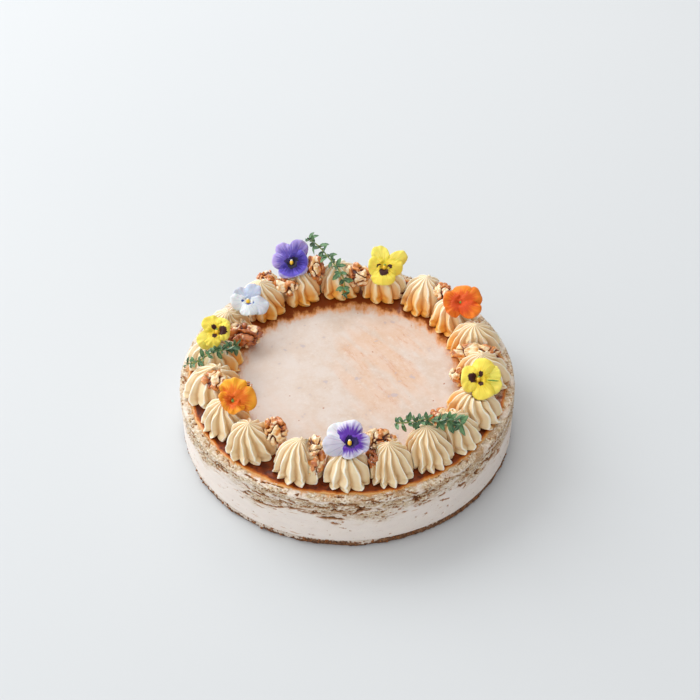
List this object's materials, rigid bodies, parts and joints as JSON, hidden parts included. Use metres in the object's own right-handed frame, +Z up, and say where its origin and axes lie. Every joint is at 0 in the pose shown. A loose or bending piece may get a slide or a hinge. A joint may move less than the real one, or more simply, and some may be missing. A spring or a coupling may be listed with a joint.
{
  "type": "cheesecake",
  "caption": "Round caramel-glazed cheesecake on a biscuit base, ringed with piped cream, candied walnuts, edible flowers and thyme.",
  "frame": {"origin": "middle of the flat underside of the biscuit base", "axes": "+Z up, -Y towards the viewer of the picture, +X to the viewer's right"},
  "size_m": [0.2029, 0.2029, 0.0721],
  "materials": {
    "biscuit": "matte, crumbly",
    "filling": "matte, soft, crumbly towards its top",
    "glaze": "mirror gloss caramel, mottled",
    "cream": "satin, smooth piped cream",
    "candied_walnut": "glossy caramelised nut with pale broken faces",
    "petal_violet": "matte, velvety petal",
    "petal_yellow": "matte, velvety petal",
    "petal_orange": "matte, velvety petal",
    "petal_white_violet": "matte, velvety petal",
    "petal_white_blue": "matte, velvety petal",
    "thyme": "satin green leaf"
  },
  "bodies": {
    "root": {"biscuit_base": "biscuit", "cheese_filling": "filling", "caramel_glaze": "glaze", "cream_01": "cream", "cream_02": "cream", "cream_03": "cream", "cream_04": "cream", "cream_05": "cream", "cream_06": "cream", "cream_07": "cream", "cream_08": "cream", "cream_09": "cream", "cream_10": "cream", "cream_11": "cream", "cream_12": "cream", "cream_13": "cream", "cream_14": "cream", "cream_15": "cream", "cream_16": "cream", "cream_17": "cream", "cream_18": "cream", "cream_19": "cream", "nut_01_wedge": "candied_walnut", "nut_02_top": "candied_walnut", "nut_03_side": "candied_walnut", "nut_05_small": "candied_walnut", "nut_06_long": "candied_walnut", "nut_08_back": "candied_walnut", "nut_10_pale": "candied_walnut", "nut_11_tall": "candied_walnut", "nut_12_front": "candied_walnut", "nut_13_side": "candied_walnut", "nut_14_dark": "candied_walnut", "nut_16_top": "candied_walnut", "nut_16_chip": "candied_walnut", "nut_18_curl": "candied_walnut", "nut_19_wedge": "candied_walnut", "flower_violet": "petal_violet", "flower_yellow_back": "petal_yellow", "flower_orange_right": "petal_orange", "flower_yellow_right": "petal_yellow", "flower_white_violet": "petal_white_violet", "flower_orange_left": "petal_orange", "flower_yellow_left": "petal_yellow", "flower_white_blue": "petal_white_blue", "thyme_back": "thyme", "thyme_left": "thyme", "thyme_right": "thyme"}
  },
  "joints": []
}
